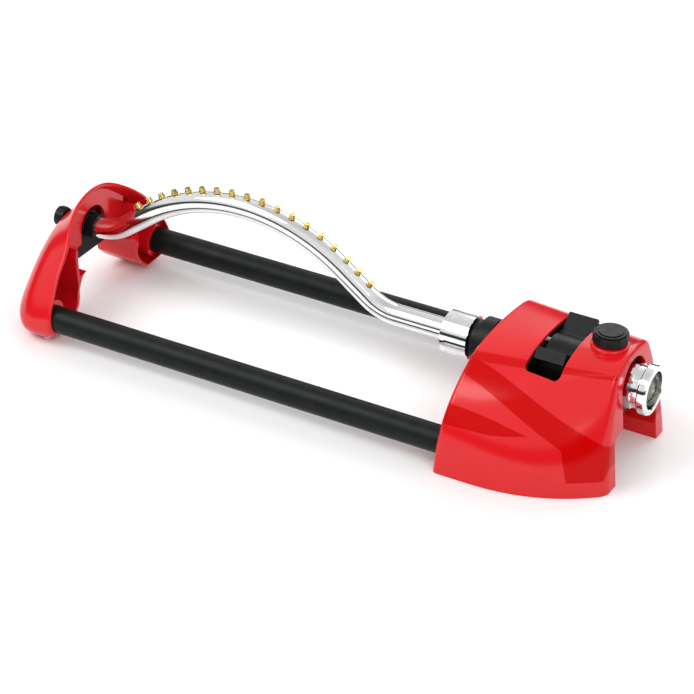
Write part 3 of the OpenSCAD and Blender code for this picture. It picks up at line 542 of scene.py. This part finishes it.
def smoothstep(start, end, value):
    """0 up to start, 1 from end on, and an S-curve between them."""
    t = np.clip((value - start) / (end - start), 0, 1)
    return t * t * (3 - 2 * t)


def resampled(points, count):
    """The same open outline with count points, evenly spaced along it."""
    points = np.asarray(points, float)
    step = np.r_[0, np.cumsum(np.linalg.norm(np.diff(points, axis=0), axis=1))]
    at = np.linspace(0, step[-1], count)
    return np.c_[np.interp(at, step, points[:, 0]), np.interp(at, step, points[:, 1])]


def softened(points, reach, passes):
    """Rounds the corners of an evenly spaced open outline, and keeps its ends."""
    points = points.copy()
    for _ in range(passes):
        inner = points[1:-1] + reach * (points[:-2] + points[2:] - 2 * points[1:-1])
        points[1:-1] = inner
    return points


def outline_normals(points):
    """Unit normals of an open outline that runs from -u over the top to +u, pointing outwards."""
    along = np.gradient(points, axis=0)
    along /= np.maximum(np.linalg.norm(along, axis=1), 1e-12)[:, None]
    return np.c_[-along[:, 1], along[:, 0]]


# ---------------------------------------------------------------- motor housing

class Housing:
    """The red cover of the water motor, as a skin over its length u and its section."""

    def __init__(self):
        low, high = corners("motor_cover")
        self.x0, self.x1 = low.x, high.x
        self.length = high.x - low.x
        self.half_w = high.y
        self.end_h = 84 * MM
        self.wall = 2.2 * MM
        self.lean0, self.lean1 = 6 * MM, -8 * MM
        self.gap_half, self.gap_top, self.gap_corner = 33 * MM, 35 * MM, 6 * MM

    def half_width(self, s):
        """Half width at the ground: straight sides, then a long round corner to the inlet end."""
        straight, drawn_in = 20 * MM, 33 * MM
        t = np.clip((s - straight) / (self.length - straight), 0, 1)
        return self.half_w - drawn_in * t ** 2.5

    def section(self, s, count, inset):
        """Outline from the front foot over the top to the rear foot at distance s from the end."""
        t = s / self.length
        width = float(self.half_width(s))
        crease_z = (72.5 + 5.5 * t) * MM
        top_z = (76.5 + 7.5 * t) * MM
        power = 3.1 - 1.5 * t
        halves = []
        for crease_y in ((37 - 11 * t) * MM, (43 - 17 * t) * MM):
            b = np.linspace(0, 1, 60)
            side = np.c_[crease_y + (width - crease_y) * (1 - b ** power), crease_z * b]
            c = np.linspace(1, 0, 30)[1:]
            crown = np.c_[crease_y * c, top_z - (top_z - crease_z) * c ** 2]
            halves.append(np.r_[side, crown])
        front, rear = halves
        front[:, 0] *= -1
        points = resampled(np.r_[front, rear[::-1][1:]], count)
        points = softened(points, 0.25, 14)
        normal = outline_normals(points)
        points = points - normal * inset
        points[:, 1] = np.maximum(points[:, 1], 0)
        points[0, 1] = points[-1, 1] = 0
        return points

    def loops(self, inset, count=190, rows=84, edge=4.0 * MM):
        """Loops along the housing.  The skin is drawn in towards both ends to round the edges."""
        stops = list(np.linspace(0, 1, rows))
        arc = [1 - math.cos(math.radians(a)) for a in range(0, 90, 12)]
        inner0, inner1 = inset, self.length - inset
        span = inner1 - inner0
        places = sorted({round(v, 7) for v in
                         [inner0 + edge * a for a in arc] + [inner1 - edge * a for a in arc]
                         + [inner0 + edge + (span - 2 * edge) * v for v in stops]})
        loops = []
        for s in places:
            near = min(s - inner0, inner1 - s)
            drawn = edge - math.sqrt(max(0.0, edge ** 2 - max(0.0, edge - near) ** 2))
            points = self.section(s, count, inset + drawn)
            t = s / self.length
            lean = self.lean0 * (1 - t) + self.lean1 * t
            loops.append([Vector((self.x0 + s + lean * z / self.end_h, y, z)) for y, z in points])
        return loops

    def leg_gap(self, grow):
        """Gap between the legs at the inlet end, seen along X, with round upper corners."""
        half = self.gap_half + grow
        return rounded_rectangle((-half, -20 * MM), (half, self.gap_top), self.gap_corner)


def housing_hollow(shell, inner_loops):
    """The room under the cover, less the walls that close its legs towards the gap."""
    hollow = lofted("hollow", [[Vector((p.x, p.y, p.z if 0 < j < len(loop) - 1 else -2 * MM))
                                for j, p in enumerate(loop)] for loop in inner_loops])
    start, end = shell.x1 - 31 * MM, shell.x1 + 20 * MM
    liner = prism("liner", shell.leg_gap(shell.wall), start, end)
    above = rounded_rectangle((-60 * MM, 33 * MM), (60 * MM, 60 * MM), MM)
    boolean(liner, prism("above", above, start - 9 * MM, end + 10 * MM))
    return boolean(hollow, liner)


def cut_bar_end(cover, shell):
    """Holes for the snout and the two frame tubes."""
    room = 0.3 * MM
    start = shell.x0 - 20 * MM
    snout_r = (corners("snout")[1].z - corners("snout")[0].z) / 2
    boolean(cover, prism("snout_hole", circle(snout_r + room, (0, AXIS_Z)), start,
                         shell.x0 + 14 * MM))
    for side in (-1, 1):
        outline = circle(TUBE_R + room, (TUBE[side].y, TUBE[side].z))
        boolean(cover, prism("tube_hole", outline, start, shell.x0 + 26 * MM))


def cut_slot(cover):
    """Slot over the range band, which the two tabs move in."""
    low, high = corners("range_band")
    room, front, rear, corner = 2.5 * MM, -39 * MM, 31 * MM, 4 * MM
    slot = rounded_rectangle((low.x - room, front), (high.x + room, rear), corner)
    boolean(cover, prism("slot", slot, 58 * MM, 100 * MM, axis=2))


def cut_inlet_end(cover, shell):
    """Arch round the inlet flange, down into the gap between the legs, and that gap."""
    end = shell.x1 + 20 * MM
    bottom = 20 * MM
    flange_x = middle("inlet_flange").x
    radius = corners("inlet_flange")[1].y + 1.5 * MM
    arch = [(y, z) for y, z in circle(radius, (0, AXIS_Z), 128) if z >= AXIS_Z]
    arch += [(-radius, bottom), (radius, bottom)]
    boolean(cover, prism("arch", arch, flange_x - 1 * MM, end))
    boolean(cover, prism("leg_gap", shell.leg_gap(0.0), shell.x1 - 29 * MM, end))


def knob_seat(knob, seat_z):
    """Low round boss under the flow knob, with a rounded upper edge."""
    radius, edge = 13.0 * MM, 1.2 * MM
    rings = [(radius, seat_z - 6 * MM)]
    rings += [(radius - edge + edge * math.cos(math.radians(a)),
               seat_z - edge + edge * math.sin(math.radians(a))) for a in range(0, 91, 18)]
    return lofted("seat", [[Vector((x, y, z)) for x, y in circle(r, (knob.x, knob.y), 72)]
                           for r, z in rings])


def motor_housing():
    """The red cover: a thin shell with its openings, and the seat of the flow knob."""
    shell = Housing()
    outer_loops = shell.loops(0.0)
    inner_loops = shell.loops(shell.wall, rows=60)
    cover = lofted("motor_housing", outer_loops)
    boolean(cover, housing_hollow(shell, inner_loops))
    knob = middle("flow_knob")
    seat_z = corners("flow_knob")[0].z - 0.5 * MM
    boolean(cover, knob_seat(knob, seat_z), "UNION")
    cut_bar_end(cover, shell)
    cut_slot(cover)
    cut_inlet_end(cover, shell)
    boolean(cover, prism("spindle_hole", circle(4.2 * MM, (knob.x, knob.y), 48),
                         seat_z - 14 * MM, seat_z + 5 * MM, axis=2))
    tidy(cover)
    shade(cover, [surface_of(outer_loops), surface_of(inner_loops)])
    finish_piece(cover, "frame", "red_shell", "motor_cover", "red_housing")


# ---------------------------------------------------------------- foot

class Foot:
    """The red foot at the far end: a round arch whose crown leans and falls back."""

    def __init__(self):
        low, high = corners("left_foot")
        self.rim_x = high.x
        self.depth = high.x - low.x
        self.half_w = high.y
        self.height = high.z
        self.wall = 3 * MM
        self.gap_half, self.gap_top = 36 * MM, 37 * MM

    def section(self, d, count, inset):
        """Outline from the front toe over the arch to the rear toe, d from 0 (rim) to 1 (back)."""
        width = self.half_w - 19 * MM * d ** 5 - inset
        height = self.height - 25 * MM * d ** 1.15 - inset
        lift = 11 * MM * max(0.0, (d - 0.62) / 0.38) ** 2 + 3 * MM * max(0.0, 1 - d / 0.2) ** 2
        t = np.linspace(0, 1, 60)[:, None]
        control = np.array([[1, 0.17], [0.93, 0.47], [0.44, 1], [0, 1]])
        curve = ((1 - t) ** 3 * control[0] + 3 * (1 - t) ** 2 * t * control[1]
                 + 3 * (1 - t) * t * t * control[2] + t ** 3 * control[3])
        rear = np.r_[[[width - 20 * MM, 0], [width - 13 * MM, 0], [width - 4 * MM, 6 * MM]],
                     curve * [width, height]]
        rear[:, 1] += lift * np.clip(1 - rear[:, 1] / (34 * MM), 0, 1)
        front = rear * [-1, 1]
        points = resampled(np.r_[front, rear[::-1][1:]], count)
        points = softened(points, 0.25, 34)
        points[:, 1] = inset + points[:, 1] * (height - inset) / height
        return points

    def lean(self, z):
        """How far the rim stands back at height z: most at the crown, and a little at the toe."""
        crown = float(smoothstep(58 * MM, 88 * MM, z))
        side = min(1.0, z / (50 * MM))
        toe = max(0.0, 1 - z / (14 * MM)) ** 2
        return -5 * MM * side - 11 * MM * crown - 9 * MM * toe

    def loops(self, inset, start=0.0, count=200, rows=30, edge=7.0 * MM, lip=0.0):
        """Loops from the rim to the back, drawn in over lip at the rim and over edge at the back
        to round the edges.  A start below 0 carries them out past the rim instead of a lip."""
        span = self.depth - inset
        arc = [math.sin(math.radians(a)) for a in range(0, 90, 10)]
        places = [start] if start < 0 else []
        if lip:
            places += [lip * (1 - a) for a in arc]
        places += list(np.linspace(lip, span - edge, rows))
        places += [span - edge + edge * a for a in arc[1:]]
        places = sorted({round(s, 7) for s in places})
        loops = []
        for s in places:
            d = max(0.0, s) / self.depth
            drawn = edge - math.sqrt(max(0.0, edge ** 2 - max(0.0, s - span + edge) ** 2))
            if lip and s < lip:
                drawn += lip - math.sqrt(max(0.0, lip ** 2 - (lip - s) ** 2))
            points = self.section(d, count, inset + drawn)
            fading = min(1.0, max(0.0, 1 - s / (span - edge)))
            loops.append([Vector((self.rim_x - s + self.lean(z) * fading, y, z)) for y, z in points])
        return loops

    def gap(self, grow):
        """Gap between the legs: upright sides that flare out to the toes, and round corners."""
        corner = 9 * MM
        half, top = self.gap_half + grow, self.gap_top + grow
        right = [(half + 21 * MM, -3 * MM), (half + 19 * MM, 0), (half + 7 * MM, 9 * MM),
                 (half + 1.5 * MM, 15 * MM), (half, 20 * MM)]
        right += [(half - corner + corner * math.cos(math.radians(a)),
                   top - corner + corner * math.sin(math.radians(a))) for a in range(0, 91, 15)]
        return right + [(-y, z) for y, z in right[::-1]]


def foot_fittings(shell, x):
    """Solids left standing inside the hollow foot: leg walls, bulkhead and tube sockets."""
    wall_x = corners("pivot_bracket")[1].x
    back = x - shell.depth - 5 * MM
    near, far = shell.gap_half, shell.gap_half + shell.wall
    foot, head = 20 * MM, AXIS_Z + 2 * MM
    liners = [prism("liner", [(near * side, foot), (far * side, foot), (far * side, head),
                              (near * side, head)], back, x - 4 * MM) for side in (-1, 1)]
    walls = prism("leg_walls", shell.gap(shell.wall), back, x - 2.5 * MM)
    above = rectangle(shell.half_w, shell.gap_top, shell.height + 10 * MM)
    boolean(walls, prism("above", above, back - 4 * MM, x + 5 * MM))
    bulkhead = prism("bulkhead", rectangle(far, AXIS_Z - 9 * MM, shell.height + 5 * MM),
                     wall_x + 0.2 * MM, wall_x + shell.wall)
    boolean(bulkhead, prism("recess", arch_outline(15 * MM, AXIS_Z, 30 * MM),
                            wall_x - 10 * MM, wall_x + 10 * MM))
    sockets = [prism("socket", circle(TUBE_R + 3.5 * MM, (TUBE[side].y, TUBE[side].z)),
                     x - 26 * MM, x - 7 * MM) for side in (-1, 1)]
    return [walls, bulkhead] + liners + sockets


def left_foot():
    """The red foot: a thin leaning arch, open towards the bar, with sockets for the tubes."""
    shell = Foot()
    x = shell.rim_x
    outer_loops = shell.loops(0.0, lip=2.2 * MM)
    inner_loops = shell.loops(shell.wall, start=-12 * MM, rows=26)
    foot = lofted("foot_shell", outer_loops, fan=True)
    hollow = lofted("hollow", inner_loops, fan=True)
    for fitting in foot_fittings(shell, x):
        boolean(hollow, fitting)
    boolean(foot, hollow)
    boolean(foot, prism("gap", shell.gap(0.0), x - shell.depth - 5 * MM, x + 5 * MM))
    for side in (-1, 1):
        centre = (TUBE[side].y, TUBE[side].z)
        boolean(foot, prism("bore", circle(TUBE_R + 0.15 * MM, centre), x - 24.2 * MM, x + 9 * MM))
        screw = (x - 12 * MM, TUBE[side].y)
        boolean(foot, prism("screw_well", circle(3.5 * MM, screw, 40), -5 * MM, 3.2 * MM, axis=2))
    boolean(foot, prism("plug_hole", circle(4.2 * MM, (0, AXIS_Z), 48),
                        x - shell.depth - 5 * MM, x - shell.depth + 12 * MM))
    tidy(foot)
    shade(foot, [surface_of(outer_loops), surface_of(inner_loops)])
    finish_piece(foot, "frame", "red_shell", "left_foot")


def arch_outline(radius, centre_z, drop):
    """Half circle over two upright sides that reach drop below its centre."""
    arc = [(radius * math.cos(math.radians(a)), centre_z + radius * math.sin(math.radians(a)))
           for a in range(0, 181, 6)]
    return arc + [(-radius, centre_z - drop), (radius, centre_z - drop)]


# ---------------------------------------------------------------- hose coupling

def ring_of(name, stations, bore, sides, centre_z):
    """Ring along X: (x, radius, corner) stations outside and (x, radius) stations inside.
    corner is 0 for a round section and 1 for a flat-sided one."""
    count = 12 * sides

    def radius_at(radius, corner, k):
        within = (k / 12) % 1.0 - 0.5
        flat = math.cos(math.pi / sides) / math.cos(2 * math.pi / sides * within)
        return radius * (1 - corner + corner * flat)

    def loop(x, radius, corner):
        return [Vector((x, radius_at(radius, corner, k) * math.cos(2 * math.pi * k / count),
                        centre_z + radius_at(radius, corner, k) * math.sin(2 * math.pi * k / count)))
                for k in range(count)]

    loops = [loop(*station) for station in stations] + [loop(x, r, 0) for x, r in bore]
    verts = [p for one in loops for p in one]
    faces = [(i * count + j, i * count + (j + 1) % count,
              (i + 1) % len(loops) * count + (j + 1) % count, (i + 1) % len(loops) * count + j)
             for i in range(len(loops)) for j in range(count)]
    return make_object(name, verts, faces)


def hose_coupling():
    """Chrome ring with eight flats behind a round rolled lip, over the CAD's own bore."""
    low, high = corners("hose_coupling")
    washer_r = corners("hose_washer")[1].y
    outer, bore, relief, stem = high.y, washer_r + 0.15 * MM, washer_r + 0.6 * MM, 10.6 * MM
    x0, x1 = low.x, high.x
    flats, waist = outer - 1.2 * MM, x0 + 8.5 * MM
    outside = [(x0, outer - 1.9 * MM, 1), (x0 + 0.8 * MM, flats, 1),
               (waist - 0.8 * MM, flats, 1), (waist, outer - 2.3 * MM, 0.3),
               (x1 - 7.2 * MM, outer - 2.6 * MM, 0), (x1 - 6.2 * MM, outer - 0.4 * MM, 0),
               (x1 - 5.6 * MM, outer, 0), (x1 - 1.2 * MM, outer, 0),
               (x1 - 0.3 * MM, outer - 0.5 * MM, 0), (x1, outer - 1.3 * MM, 0)]
    inside = [(x1, bore + 0.5 * MM), (x1 - 0.5 * MM, bore), (x1 - 8.4 * MM, bore),
              (x1 - 8.5 * MM, relief), (x0 + 2.4 * MM, relief), (x0 + 2.4 * MM, stem), (x0, stem)]
    ring = ring_of("hose_coupling_look", outside, inside, 8, AXIS_Z)
    tidy(ring)
    shade(ring, sharp=math.radians(24))
    finish_piece(ring, "swivel", "chrome_trim", "hose_coupling")


# ---------------------------------------------------------------- build

add_camera()
add_studio()
paint_cad_nodes()
motor_housing()
left_foot()
hose_coupling()
